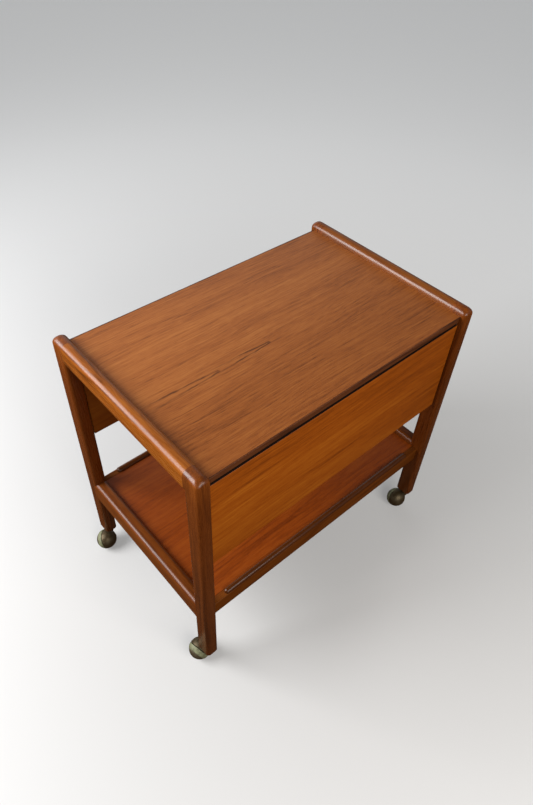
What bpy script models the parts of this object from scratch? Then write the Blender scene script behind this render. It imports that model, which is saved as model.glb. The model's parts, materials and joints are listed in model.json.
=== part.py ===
"""Double drop-leaf trolley on four ball castors, with a raised-rail top and a beaded lower shelf.

Metres, +Z up. The origin is on the floor, under the middle of the trolley. X runs along its
length, and its front is at -Y. It stands at rest with both leaves hanging and both pairs of
leaf bearers pushed in.
"""
import math

import bmesh
import bpy
from mathutils import Matrix, Vector

# ---- driving dimensions -----------------------------------------------------------------
LENGTH = 0.710            # over the outer faces of the end frames
DEPTH = 0.454             # over the front and back faces of the posts
HEIGHT = 0.674            # floor to the top of the raised end rails
GLUE_GAP = 0.0003         # between pieces that touch

POST_X = 0.029
POST_Y = 0.039
POST_BASE = 0.055         # floor to the foot of a post
POST_ROUND = 0.008        # radius along a post's long edges
HEAD_ROUND = 0.0135       # radius along the top edges of the top rails, and over the posts' heads
RAIL_ROUND = 0.010        # radius along the top edges of the lower rails
RAIL_EASE = 0.003         # radius along the lower edges of the end rails
TOP_RAIL_HEIGHT = 0.043
LOWER_RAIL_BASE = 0.197
LOWER_RAIL_TOP = 0.251
TENON_LENGTH = 0.012
TENON_THICK = 0.010
TENON_STEP = 0.006        # a tenon is this much lower than its rail, at the top and at the bottom
TENON_ROOT = 0.002        # how far a tenon starts inside its own rail

TOP_SURFACE = 0.657       # floor to the table top
TOP_DEPTH = 0.432
TOP_THICK = 0.0185
LIPPING_WIDTH = 0.012
LIPPING_RIM = 0.0025      # width of a lipping that shows on the top, outside the face veneer
RIM_OVERLAP = 0.002       # how far the rim reaches down into its lipping
FACE_VENEER = 0.0009      # runs over the rest of the lippings
BATTEN_SIZE = 0.018
BATTEN_HALF_LENGTH = 0.150

LEAF_THICK = 0.0185
LEAF_BOTTOM = 0.403
LEAF_GAP = 0.001          # between the table top and a leaf, hanging or raised
LEAF_SIDE_GAP = 0.0027    # between a leaf's end and the posts
LEAF_EASE = 0.001

PLATE_THICK = 0.0015
PLATE_HALF_WIDTH = 0.0055
PLATE_LENGTH = 0.052      # pivot line to the plate's lower end
PIN_RADIUS = 0.0025
PIN_HEAD_RADIUS = 0.0042
PIN_DEPTH = 0.0125        # into a post
PIN_HOLE_DEPTH = 0.014
NOTCH_DEPTH = 0.0020      # past a leaf's end, in the corners of the table top
NOTCH_ROUND_PIVOT = 0.0080
NOTCH_ABOVE_PIVOT = 0.0065

BEARER_WIDTH = 0.028
BEARER_THICK = 0.018
BEARER_LENGTH = 0.200
BEARER_TRAVEL = 0.200
BEARER_REACH = 0.057      # past the pivot line when a leaf is up
BEARER_DROP = 0.0168      # pivot line down to the top of a bearer
BEARER_NOSE = 0.003       # radius along a bearer's outer edges
BEARER_PLAY = 0.0005
BEARER_X = {"front": 0.200, "back": 0.140}
CHANNEL_WALL = 0.008
CHANNEL_FLOOR = 0.006
CHANNEL_LENGTH = 0.370
STOP_RADIUS = 0.0020      # a bearer's stop pin, which runs in a slot in the channel's floor
STOP_INSET = 0.020        # from a bearer's inner end
STOP_DEPTH = 0.008        # into a bearer
SLOT_PLAY = 0.0010

SHELF_SURFACE = 0.2355
SHELF_THICK = 0.012
SHELF_RAIL_THICK = 0.015
SHELF_RAIL_FACE = 0.213   # centre line to the outer face of a shelf rail
SHELF_RAIL_EASE = 0.0015
BEAD_HALF_LENGTH = 0.289
BEAD_RADIUS = 0.0072
BEAD_RAISE = 0.0005       # shelf surface to the centre of a bead

BALL_RADIUS = 0.025
WHEEL_TILT = math.radians(20.0)   # the wheel's outer side faces down by this much
CASTOR_TRAIL = 0.0215     # stem to ball centre, along the rolling direction
CASTOR_SIDE = 0.004       # stem to ball centre, towards the wheel's outer side
# the way each wheel's outer side faces, in degrees from +X towards +Y, and the side of the
# axle that the stem stands on
CASTOR_FACING = {"front_left": 192.0, "front_right": 82.0, "back_left": 137.0, "back_right": 40.0}
CASTOR_TRAIL_SIGN = {"front_left": -1, "front_right": 1, "back_left": 1, "back_right": -1}

# distances along the wheel's axis are from the ball's centre, towards the wheel's outer side
TYRE_NEAR = 0.0023
TYRE_FAR = 0.0137
TYRE_BORE = 0.0170
HOOD_RIM = 0.0010
HOOD_INSET = 0.0003       # the hood is this much smaller than the tyre's ball
HOOD_THICK = 0.0018
DOME_INSET = 0.0004
HUB_RADIUS = 0.0060
HUB_BACK = -0.0150
AXLE_RADIUS = 0.0025
AXLE_PLAY = 0.0003
AXLE_TIP = 0.0080
AXLE_HOLE_END = 0.0090
RIVET_RADIUS = 0.0045
RIVET = (-0.0222, -0.0205)
STEM_RADIUS = 0.0040
STEM_TOP = 0.088
STEM_CHAMFER = 0.0010
NECK_BASE = 0.034
NECK_BASE_RADIUS = 0.0080
NECK_TOP_RADIUS = 0.0070
NECK_CLEARANCE = 0.0025   # foot of the post down to the neck
SOCKET_RADIUS = 0.0055
SOCKET_TOP = 0.092
SOCKET_CAP = 0.002
FLANGE_RADIUS = 0.0095
FLANGE_BASE = 0.0018      # foot of the post down to the face of a socket's flange

CUT_THROUGH = 0.010       # how far a cutter runs past what it cuts
HEAD_STEPS = 4
BALL_STEPS = 16
TYRE_STEPS = 24
PIN_STEPS = 12

# ---- worked out from them ---------------------------------------------------------------
X_POST = LENGTH / 2 - POST_X / 2
Y_POST = DEPTH / 2 - POST_Y / 2
X_INNER = LENGTH / 2 - POST_X
Y_INNER = DEPTH / 2 - POST_Y
TOP_EDGE = TOP_DEPTH / 2
PIVOT_RADIUS = TOP_THICK / 2      # the pivot line is this far in from the edge and from the surface
PIVOT_Y = TOP_EDGE - PIVOT_RADIUS
PIVOT_Z = TOP_SURFACE - PIVOT_RADIUS
TOP_UNDERSIDE = TOP_SURFACE - TOP_THICK
LEAF_TOP = TOP_UNDERSIDE - LEAF_GAP
LEAF_HALF_LENGTH = X_INNER - LEAF_SIDE_GAP
PLATE_X = LEAF_HALF_LENGTH + GLUE_GAP
NOTCH_X = LEAF_HALF_LENGTH - NOTCH_DEPTH
BEARER_TOP = PIVOT_Z - BEARER_DROP
BEARER_TIP = PIVOT_Y + BEARER_REACH - BEARER_TRAVEL
SHELF_RAIL_Y = SHELF_RAIL_FACE - SHELF_RAIL_THICK / 2
TOP_RAIL = (HEIGHT - TOP_RAIL_HEIGHT, HEIGHT)
LOWER_RAIL = (LOWER_RAIL_BASE, LOWER_RAIL_TOP)

SIDES = {"left": -1, "right": 1}
ENDS = {"front": -1, "back": 1}
CORNERS = {f"{end}_{side}": (SIDES[side], ENDS[end]) for end in ENDS for side in SIDES}

MATERIALS = {
    # name: base colour, roughness, metallic
    "post_teak": ((0.16, 0.060, 0.022), 0.38, 0.0),
    "rail_teak": ((0.26, 0.105, 0.032), 0.36, 0.0),
    "top_veneer": ((0.36, 0.150, 0.045), 0.42, 0.0),
    "leaf_veneer": ((0.40, 0.160, 0.035), 0.42, 0.0),
    "shelf_veneer": ((0.30, 0.100, 0.030), 0.42, 0.0),
    "dark_lipping": ((0.06, 0.024, 0.014), 0.40, 0.0),
    "bearer_beech": ((0.50, 0.330, 0.180), 0.60, 0.0),
    "steel": ((0.52, 0.50, 0.47), 0.35, 1.0),
    "bronze": ((0.20, 0.165, 0.090), 0.38, 0.9),
    "wheel_dome": ((0.11, 0.10, 0.075), 0.42, 0.6),
    "tyre_rubber": ((0.22, 0.27, 0.20), 0.65, 0.0),
}


# ---- scene and small helpers ------------------------------------------------------------
def clear_scene():
    for item in list(bpy.data.objects):
        bpy.data.objects.remove(item, do_unlink=True)


def new_collection(name):
    collection = bpy.data.collections.new(name)
    bpy.context.scene.collection.children.link(collection)
    return collection


def get_material(name):
    found = bpy.data.materials.get(name)
    if found:
        return found
    color, roughness, metallic = MATERIALS[name]
    material = bpy.data.materials.new(name)
    material.use_nodes = True
    shader = material.node_tree.nodes["Principled BSDF"]
    shader.inputs["Base Color"].default_value = (*color, 1.0)
    shader.inputs["Roughness"].default_value = roughness
    shader.inputs["Metallic"].default_value = metallic
    return material


def add_object(name, mesh, material, collection=None):
    piece = bpy.data.objects.new(name, mesh)
    (collection or PARTS).objects.link(piece)
    if material:
        mesh.materials.append(get_material(material))
    return piece


def add_cutter(name, mesh):
    """A hidden object that a Boolean modifier uses."""
    cutter = add_object(name, mesh, None, CUTTERS)
    cutter.hide_render = True
    cutter.display_type = "WIRE"
    return cutter


def face_outwards(bm):
    bmesh.ops.recalc_face_normals(bm, faces=bm.faces)
    if bm.calc_volume(signed=True) < 0.0:
        bmesh.ops.reverse_faces(bm, faces=bm.faces)


def shade_round(mesh):
    mesh.shade_smooth()
    mesh.set_sharp_from_angle(angle=math.radians(35.0))


def mesh_from(bm, name):
    face_outwards(bm)
    mesh = bpy.data.meshes.new(name)
    bm.to_mesh(mesh)
    bm.free()
    return mesh


def box_mesh(name, corner, opposite):
    """A box between two opposite corners, in any order."""
    low = [min(pair) for pair in zip(corner, opposite)]
    high = [max(pair) for pair in zip(corner, opposite)]
    size = [b - a for a, b in zip(low, high)]
    middle = [(a + b) / 2 for a, b in zip(low, high)]
    bm = bmesh.new()
    bmesh.ops.create_cube(bm, size=1.0, matrix=Matrix.Translation(middle) @ Matrix.Diagonal((*size, 1.0)))
    return mesh_from(bm, name)


def add_box(name, corner, opposite, material, origin=(0.0, 0.0, 0.0)):
    """A box between two opposite world corners, on an object placed at origin."""
    shift = Vector(origin)
    piece = add_object(name, box_mesh(name, Vector(corner) - shift, Vector(opposite) - shift), material)
    piece.location = origin
    return piece


def box_cutter(name, corner, opposite):
    return add_cutter(name, box_mesh(name, corner, opposite))


def round_edges(mesh, keep, radius, segments):
    """Bevel the edges that keep(edge) picks."""
    bm = bmesh.new()
    bm.from_mesh(mesh)
    picked = [edge for edge in bm.edges if keep(edge)]
    bmesh.ops.bevel(bm, geom=picked, offset=radius, segments=segments, profile=0.5, affect="EDGES")
    bm.to_mesh(mesh)
    bm.free()
    shade_round(mesh)


def runs_along(edge, axis):
    direction = (edge.verts[1].co - edge.verts[0].co).normalized()
    return abs(direction[axis]) > 0.99


def rod_mesh(name, radius, start, finish, axis="Z"):
    """A cylinder about the object's own X or Z axis, from start to finish along it."""
    bm = bmesh.new()
    bmesh.ops.create_cone(bm, cap_ends=True, segments=PIN_STEPS, radius1=radius, radius2=radius,
                          depth=finish - start, matrix=Matrix.Translation((0.0, 0.0, (start + finish) / 2)))
    if axis == "X":
        bm.transform(Matrix.Rotation(math.radians(90.0), 4, "Y"))
    mesh = mesh_from(bm, name)
    shade_round(mesh)
    return mesh


def evaluated_mesh(helper, name):
    """The welded mesh that a helper object's modifiers or curve make; the helper goes."""
    bpy.context.view_layer.update()
    result = bpy.data.meshes.new_from_object(helper.evaluated_get(bpy.context.evaluated_depsgraph_get()))
    result.name = name
    result.materials.clear()
    bpy.data.objects.remove(helper, do_unlink=True)
    bm = bmesh.new()
    bm.from_mesh(result)
    bmesh.ops.remove_doubles(bm, verts=bm.verts, dist=0.00001)
    face_outwards(bm)
    bm.to_mesh(result)
    bm.free()
    return result


def turned_mesh(name, profile, steps):
    """A closed outline of (radius, height) points turned about Z with a Screw modifier."""
    bm = bmesh.new()
    points = [bm.verts.new((radius, 0.0, height)) for radius, height in profile]
    for first, second in zip(points, points[1:]):
        bm.edges.new((first, second))
    if profile[0][0] > 0.0:
        bm.edges.new((points[-1], points[0]))
    outline = bpy.data.meshes.new(name + "_outline")
    bm.to_mesh(outline)
    bm.free()
    helper = add_cutter(name + "_outline", outline)
    screw = helper.modifiers.new("turn", "SCREW")
    screw.steps = steps
    screw.render_steps = steps
    screw.use_merge_vertices = True
    screw.merge_threshold = 0.00001
    result = evaluated_mesh(helper, name)
    shade_round(result)
    return result


def outline_mesh(name, points, thickness):
    """A flat outline in XY, thickened along Z, from a 2D curve with both caps."""
    curve = bpy.data.curves.new(name, "CURVE")
    curve.dimensions = "2D"
    curve.fill_mode = "BOTH"
    curve.extrude = thickness / 2
    spline = curve.splines.new("POLY")
    spline.points.add(len(points) - 1)
    for point, (x, y) in zip(spline.points, points):
        point.co = (x, y, 0.0, 1.0)
    spline.use_cyclic_u = True
    helper = bpy.data.objects.new(name + "_curve", curve)
    CUTTERS.objects.link(helper)
    return evaluated_mesh(helper, name)


def combine(piece, cutter, operation="DIFFERENCE"):
    """A Boolean modifier on piece."""
    modifier = piece.modifiers.new(cutter.name, "BOOLEAN")
    modifier.operation = operation
    modifier.solver = "EXACT"
    modifier.object = cutter


# ---- end frames -------------------------------------------------------------------------
def end_rail_tenon(side, end, base, top, rounding, grow=0.0):
    """Two corners of an end rail's tenon in one post, or of its mortise, grown all round."""
    root = Y_INNER - GLUE_GAP - TENON_ROOT
    tip = Y_INNER - GLUE_GAP + TENON_LENGTH + grow
    half = TENON_THICK / 2 + grow
    x = side * X_POST
    return ((x - half, end * root, base + TENON_STEP - grow),
            (x + half, end * tip, top - rounding + grow))


def shelf_rail_tenon(side, end, grow=0.0):
    """Two corners of a shelf rail's tenon in one post, or of its mortise, grown all round."""
    root = X_INNER - GLUE_GAP - TENON_ROOT
    tip = X_INNER - GLUE_GAP + TENON_LENGTH + grow
    half = TENON_THICK / 2 - TENON_ROOT + grow
    y = end * SHELF_RAIL_Y
    return ((side * root, y - half, LOWER_RAIL_BASE + TENON_STEP - grow),
            (side * tip, y + half, SHELF_SURFACE - TENON_STEP + grow))


def round_head(mesh, end, height):
    """Round a post's head over both its sides and its outer end."""
    flat_x = POST_X / 2 - HEAD_ROUND
    flat_y = POST_Y / 2 - HEAD_ROUND
    reach = [HEAD_ROUND * math.sin(math.radians(90.0 * i / HEAD_STEPS)) for i in range(HEAD_STEPS)]
    planes = [((way * (flat_x + step), 0.0, 0.0), (way, 0.0, 0.0)) for way in (-1, 1) for step in reach]
    planes += [((0.0, end * (flat_y + step), 0.0), (0.0, end, 0.0)) for step in reach]
    bm = bmesh.new()
    bm.from_mesh(mesh)
    for place, normal in planes:
        top = [face for face in bm.faces if min(vert.co.z for vert in face.verts) > height - GLUE_GAP]
        parts = top + list({edge for face in top for edge in face.edges})
        parts += list({vert for face in top for vert in face.verts})
        bmesh.ops.bisect_plane(bm, geom=parts, dist=0.00001, plane_co=place, plane_no=normal)
    for vert in bm.verts:
        if vert.co.z > height - GLUE_GAP:
            over_x = max(0.0, abs(vert.co.x) - flat_x)
            over_y = max(0.0, end * vert.co.y - flat_y)
            drops = [HEAD_ROUND - math.sqrt(max(0.0, HEAD_ROUND ** 2 - over ** 2)) for over in (over_x, over_y)]
            vert.co.z -= math.hypot(*drops)
    bmesh.ops.triangulate(bm, faces=[face for face in bm.faces if abs(face.normal.z) > 0.001
                                     and face.calc_center_median().z > height / 2])
    bm.to_mesh(mesh)
    bm.free()
    shade_round(mesh)


def make_post(corner, side, end):
    name = "post_" + corner
    height = HEIGHT - POST_BASE
    mesh = box_mesh(name, (-POST_X / 2, -POST_Y / 2, 0.0), (POST_X / 2, POST_Y / 2, height))
    round_edges(mesh, lambda edge: runs_along(edge, 2), POST_ROUND, 4)
    round_head(mesh, end, height)
    post = add_object(name, mesh, "post_teak")
    post.location = (side * X_POST, end * Y_POST, POST_BASE)
    socket_hole = add_cutter("socket_hole_" + corner,
                             rod_mesh("socket_hole", SOCKET_RADIUS + GLUE_GAP, POST_BASE - CUT_THROUGH,
                                      SOCKET_TOP + GLUE_GAP))
    socket_hole.location = (side * X_POST, end * Y_POST, 0.0)
    pin_hole = add_cutter("pin_hole_" + corner,
                          rod_mesh("pin_hole", PIN_RADIUS + GLUE_GAP, -PIN_HOLE_DEPTH, PIN_HOLE_DEPTH, "X"))
    pin_hole.location = (side * X_INNER, end * PIVOT_Y, PIVOT_Z)
    combine(post, socket_hole)
    combine(post, pin_hole)
    combine(post, box_cutter("top_mortise_" + corner, *end_rail_tenon(side, end, *TOP_RAIL, HEAD_ROUND, GLUE_GAP)))
    combine(post, box_cutter("lower_mortise_" + corner, *end_rail_tenon(side, end, *LOWER_RAIL, RAIL_ROUND, GLUE_GAP)))
    combine(post, box_cutter("shelf_mortise_" + corner, *shelf_rail_tenon(side, end, GLUE_GAP)))


def make_end_rail(name, side, base, top, rounding):
    """A rail between the two posts of an end frame, with rounded top edges and a tenon at each end."""
    half = Y_INNER - GLUE_GAP
    height = top - base
    mesh = box_mesh(name, (-POST_X / 2, -half, 0.0), (POST_X / 2, half, height))

    def upper(edge):
        return runs_along(edge, 1) and min(vert.co.z for vert in edge.verts) > height / 2

    def lower(edge):
        return runs_along(edge, 1) and max(vert.co.z for vert in edge.verts) < RAIL_EASE / 2

    round_edges(mesh, upper, rounding, 4)
    round_edges(mesh, lower, RAIL_EASE, 2)
    rail = add_object(name, mesh, "rail_teak")
    rail.location = (side * X_POST, 0.0, base)
    for end_name, end in ENDS.items():
        combine(rail, box_cutter(f"{name}_tenon_{end_name}", *end_rail_tenon(side, end, base, top, rounding)),
                "UNION")


# ---- table top --------------------------------------------------------------------------
def make_lipping(end, way):
    """A solid edge strip, mostly under the face veneer. Its lower edge is rounded about the pivot line."""
    name = "lipping_" + end
    half_x = X_INNER - GLUE_GAP
    lipping = add_box(name, (-half_x, way * (TOP_EDGE - LIPPING_WIDTH), TOP_UNDERSIDE),
                      (half_x, way * TOP_EDGE, TOP_SURFACE - FACE_VENEER - GLUE_GAP), "dark_lipping")

    def lower_outer(edge):
        outside = min(abs(vert.co.y) for vert in edge.verts) > TOP_EDGE - LIPPING_WIDTH / 2
        return runs_along(edge, 0) and outside and max(vert.co.z for vert in edge.verts) < PIVOT_Z

    round_edges(lipping.data, lower_outer, PIVOT_RADIUS, 5)
    rim_low = (-half_x, way * (TOP_EDGE - LIPPING_RIM), TOP_SURFACE - FACE_VENEER - RIM_OVERLAP)
    combine(lipping, box_cutter("rim_" + end, rim_low, (half_x, way * TOP_EDGE, TOP_SURFACE)), "UNION")
    return lipping


def make_top():
    """The veneered board. Its face veneer ends at the lippings' rims, and its corners are notched underneath."""
    half_x = X_INNER - GLUE_GAP
    board = add_box("table_top", (-half_x, -TOP_EDGE, TOP_UNDERSIDE), (half_x, TOP_EDGE, TOP_SURFACE),
                    "top_veneer")
    for end, way in ENDS.items():
        lipping = make_lipping(end, way)
        inner = way * (TOP_EDGE - LIPPING_WIDTH - GLUE_GAP)
        rebate = box_cutter("rebate_" + end, (-LENGTH, inner, TOP_UNDERSIDE - CUT_THROUGH),
                            (LENGTH, way * DEPTH, TOP_SURFACE - FACE_VENEER))
        combine(board, rebate)
        rim_inner = way * (TOP_EDGE - LIPPING_RIM - GLUE_GAP)
        trim = box_cutter("trim_" + end, (-LENGTH, rim_inner, TOP_SURFACE - FACE_VENEER - RIM_OVERLAP),
                          (LENGTH, way * DEPTH, TOP_SURFACE + CUT_THROUGH))
        combine(board, trim)
        for side, sign in SIDES.items():
            inner_corner = (sign * NOTCH_X, way * (PIVOT_Y - NOTCH_ROUND_PIVOT), TOP_UNDERSIDE - CUT_THROUGH)
            outer_corner = (sign * LENGTH, way * DEPTH, PIVOT_Z + NOTCH_ABOVE_PIVOT)
            notch = box_cutter(f"notch_{end}_{side}", inner_corner, outer_corner)
            combine(lipping, notch)
            combine(board, notch)


def make_battens():
    """The two battens that carry the table top, one along each end rail."""
    top = TOP_UNDERSIDE - GLUE_GAP
    outer = X_INNER - GLUE_GAP
    for side, sign in SIDES.items():
        add_box("top_batten_" + side, (sign * outer, -BATTEN_HALF_LENGTH, top - BATTEN_SIZE),
                (sign * (outer - BATTEN_SIZE), BATTEN_HALF_LENGTH, top), "bearer_beech")


# ---- leaves, pivots and bearers ---------------------------------------------------------
def make_leaf(end, way):
    leaf = add_box("leaf_" + end, (-LEAF_HALF_LENGTH, way * TOP_EDGE, LEAF_BOTTOM),
                   (LEAF_HALF_LENGTH, way * (TOP_EDGE - LEAF_THICK), LEAF_TOP), "leaf_veneer",
                   origin=(0.0, way * PIVOT_Y, PIVOT_Z))
    round_edges(leaf.data, lambda edge: runs_along(edge, 0), LEAF_EASE, 1)


def make_pivot(end, way, side, sign):
    """A steel plate on the leaf's end, turning on a headed pin in the post."""
    corner = f"{end}_{side}"
    ear = [(PLATE_HALF_WIDTH * math.cos(angle), PLATE_HALF_WIDTH * math.sin(angle))
           for angle in (math.pi * i / 8 for i in range(9))]
    outline = [(-PLATE_HALF_WIDTH, -PLATE_LENGTH), (PLATE_HALF_WIDTH, -PLATE_LENGTH)] + ear
    mesh = outline_mesh("pivot_plate_" + corner, outline, PLATE_THICK)
    mesh.transform(Matrix.Rotation(math.radians(90.0), 4, "Z") @ Matrix.Rotation(math.radians(90.0), 4, "X"))
    plate = add_object("pivot_plate_" + corner, mesh, "steel")
    plate.location = (sign * (PLATE_X + PLATE_THICK / 2), way * PIVOT_Y, PIVOT_Z)
    bore = add_cutter("plate_bore_" + corner,
                      rod_mesh("plate_bore", PIN_RADIUS + GLUE_GAP, -PLATE_THICK, PLATE_THICK, "X"))
    bore.location = plate.location
    combine(plate, bore)

    inner = NOTCH_X + GLUE_GAP
    shoulder = PLATE_X - GLUE_GAP
    tip = X_INNER + PIN_DEPTH
    profile = [(0.0, tip), (PIN_RADIUS, tip), (PIN_RADIUS, shoulder), (PIN_HEAD_RADIUS, shoulder),
               (PIN_HEAD_RADIUS, inner), (0.0, inner)]
    pin = add_object("pivot_pin_" + corner, turned_mesh("pivot_pin_" + corner, profile, PIN_STEPS), "steel")
    pin.rotation_euler = (0.0, sign * math.radians(90.0), 0.0)
    pin.location = (0.0, way * PIVOT_Y, PIVOT_Z)


def make_bearer(end, way, side, sign):
    """A sliding bearer in its channel under the top, with the stop pin that ends its travel."""
    corner = f"{end}_{side}"
    x = sign * BEARER_X[end]
    mesh = box_mesh("bearer_" + corner, (-BEARER_WIDTH / 2, -way * BEARER_LENGTH, -BEARER_THICK),
                    (BEARER_WIDTH / 2, 0.0, 0.0))
    round_edges(mesh, lambda edge: max(abs(vert.co.y) for vert in edge.verts) < BEARER_NOSE, BEARER_NOSE, 2)
    bearer = add_object("bearer_" + corner, mesh, "bearer_beech")
    bearer.location = (x, way * BEARER_TIP, BEARER_TOP)

    inside = BEARER_WIDTH / 2 + BEARER_PLAY
    outside = inside + CHANNEL_WALL
    roof = TOP_UNDERSIDE - GLUE_GAP - BEARER_TOP
    floor = -BEARER_THICK - BEARER_PLAY
    base = floor - CHANNEL_FLOOR
    outline = [(-outside, roof), (-outside, base), (outside, base), (outside, roof),
               (inside, roof), (inside, floor), (-inside, floor), (-inside, roof)]
    channel_mesh = outline_mesh("bearer_channel_" + corner, outline, CHANNEL_LENGTH)
    channel_mesh.transform(Matrix.Rotation(math.radians(90.0), 4, "X"))
    channel = add_object("bearer_channel_" + corner, channel_mesh, "bearer_beech")
    channel.location = (x, 0.0, BEARER_TOP)

    stop_y = BEARER_TIP - BEARER_LENGTH + STOP_INSET
    stop_top = -BEARER_THICK + STOP_DEPTH
    bore = add_cutter("stop_bore_" + corner,
                      rod_mesh("stop_bore", STOP_RADIUS + GLUE_GAP, base, stop_top + GLUE_GAP))
    bore.location = (x, way * stop_y, BEARER_TOP)
    combine(bearer, bore)
    stop = add_object("bearer_stop_" + corner,
                      rod_mesh("bearer_stop_" + corner, STOP_RADIUS, base + GLUE_GAP, stop_top), "steel")
    stop.location = bore.location
    half_slot = STOP_RADIUS + SLOT_PLAY
    slot_end = stop_y + BEARER_TRAVEL + half_slot
    slot = box_cutter("stop_slot_" + corner,
                      (x - half_slot, way * (stop_y - half_slot), BEARER_TOP + base - GLUE_GAP),
                      (x + half_slot, way * slot_end, BEARER_TOP + floor + GLUE_GAP))
    combine(channel, slot)


# ---- lower shelf ------------------------------------------------------------------------
def arc_points(radius, high, low, count):
    """Points (radius, height) along a ball's outline between two heights, from high to low."""
    first = math.acos(high / radius)
    last = math.acos(low / radius)
    angles = [first + (last - first) * i / count for i in range(count + 1)]
    return [(radius * abs(math.sin(angle)), radius * math.cos(angle)) for angle in angles]


def bead_mesh(name):
    """A rod along X with hemispherical ends."""
    shift = BEAD_HALF_LENGTH - BEAD_RADIUS
    cap = [(0.0, BEAD_RADIUS)] + arc_points(BEAD_RADIUS, BEAD_RADIUS, 0.0, 4)[1:]
    profile = [(r, z + shift) for r, z in cap] + [(r, -z - shift) for r, z in reversed(cap)]
    mesh = turned_mesh(name, profile, PIN_STEPS)
    mesh.transform(Matrix.Rotation(math.radians(90.0), 4, "Y"))
    return mesh


def make_shelf():
    half_x = X_INNER - GLUE_GAP
    panel_y = SHELF_RAIL_FACE - SHELF_RAIL_THICK - GLUE_GAP
    add_box("shelf_panel", (-half_x, -panel_y, SHELF_SURFACE - SHELF_THICK), (half_x, panel_y, SHELF_SURFACE),
            "shelf_veneer")
    for end, way in ENDS.items():
        name = "shelf_rail_" + end
        rail = add_box(name, (-half_x, way * (SHELF_RAIL_FACE - SHELF_RAIL_THICK), LOWER_RAIL_BASE),
                       (half_x, way * SHELF_RAIL_FACE, SHELF_SURFACE), "rail_teak")
        round_edges(rail.data, lambda edge: runs_along(edge, 0), SHELF_RAIL_EASE, 1)
        bead = add_cutter("bead_" + end, bead_mesh("bead_" + end))
        bead.location = (0.0, way * SHELF_RAIL_Y, SHELF_SURFACE + BEAD_RAISE)
        combine(rail, bead, "UNION")
        for side, sign in SIDES.items():
            combine(rail, box_cutter(f"{name}_tenon_{side}", *shelf_rail_tenon(sign, way)), "UNION")


# ---- castors ----------------------------------------------------------------------------
def make_hood(corner, stem, place):
    """A half ball shell with a neck and a stem, in one casting."""
    outer = BALL_RADIUS - HOOD_INSET
    inner = BALL_RADIUS - HOOD_THICK
    half_ball = [(0.0, HOOD_RIM)] + arc_points(outer, HOOD_RIM, -outer, 6)[:-1] + [(0.0, -outer)]
    hood = add_object("castor_hood_" + corner, turned_mesh("castor_hood", half_ball, BALL_STEPS), "bronze")
    hood.matrix_world = place
    neck_top = POST_BASE - NECK_CLEARANCE
    neck_profile = [(0.0, STEM_TOP), (STEM_RADIUS - STEM_CHAMFER, STEM_TOP),
                    (STEM_RADIUS, STEM_TOP - STEM_CHAMFER), (STEM_RADIUS, neck_top),
                    (NECK_TOP_RADIUS, neck_top), (NECK_BASE_RADIUS, NECK_BASE), (0.0, NECK_BASE)]
    neck = add_cutter("castor_neck_" + corner, turned_mesh("castor_neck", neck_profile, PIN_STEPS))
    neck.location = stem
    combine(hood, neck, "UNION")
    ball = [(0.0, inner)] + arc_points(inner, inner, -inner, 8)[1:-1] + [(0.0, -inner)]
    hollow = add_cutter("castor_hollow_" + corner, turned_mesh("castor_hollow", ball, BALL_STEPS))
    hollow.matrix_world = place
    combine(hood, hollow)


def make_wheel(corner, place):
    """A dished disc with a hub, its rubber tyre, and the axle that is riveted in the hood."""
    dome_radius = BALL_RADIUS - DOME_INSET
    dome_rim = TYRE_FAR + GLUE_GAP
    core = TYRE_BORE - GLUE_GAP
    bore = AXLE_RADIUS + AXLE_PLAY
    dome = [(0.0, dome_radius)] + arc_points(dome_radius, dome_radius, dome_rim, 4)[1:]
    wheel_profile = dome + [(core, dome_rim), (core, TYRE_NEAR), (HUB_RADIUS, TYRE_NEAR),
                            (HUB_RADIUS, HUB_BACK), (bore, HUB_BACK), (bore, AXLE_HOLE_END),
                            (0.0, AXLE_HOLE_END)]
    wheel = add_object("castor_wheel_" + corner, turned_mesh("castor_wheel", wheel_profile, BALL_STEPS),
                       "wheel_dome")
    wheel.matrix_world = place

    tread = arc_points(BALL_RADIUS, TYRE_FAR, TYRE_NEAR, 3)
    tyre_profile = tread + [(TYRE_BORE, TYRE_NEAR), (TYRE_BORE, TYRE_FAR)]
    tyre = add_object("castor_tyre_" + corner, turned_mesh("castor_tyre", tyre_profile, TYRE_STEPS),
                      "tyre_rubber")
    tyre.matrix_world = place

    axle_profile = [(0.0, AXLE_TIP), (AXLE_RADIUS, AXLE_TIP), (AXLE_RADIUS, RIVET[1]), (RIVET_RADIUS, RIVET[1]),
                    (RIVET_RADIUS, RIVET[0]), (0.0, RIVET[0])]
    axle = add_object("castor_axle_" + corner, turned_mesh("castor_axle", axle_profile, PIN_STEPS), "steel")
    axle.matrix_world = place


def make_socket(corner, stem):
    """The steel sleeve that is driven into the foot of a post and holds a castor's stem."""
    foot = POST_BASE - GLUE_GAP
    face = POST_BASE - FLANGE_BASE
    bore = STEM_RADIUS + AXLE_PLAY
    profile = [(0.0, SOCKET_TOP), (SOCKET_RADIUS, SOCKET_TOP), (SOCKET_RADIUS, foot), (FLANGE_RADIUS, foot),
               (FLANGE_RADIUS, face), (bore, face), (bore, SOCKET_TOP - SOCKET_CAP),
               (0.0, SOCKET_TOP - SOCKET_CAP)]
    socket = add_object("castor_socket_" + corner, turned_mesh("castor_socket", profile, PIN_STEPS), "steel")
    socket.location = stem


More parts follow.
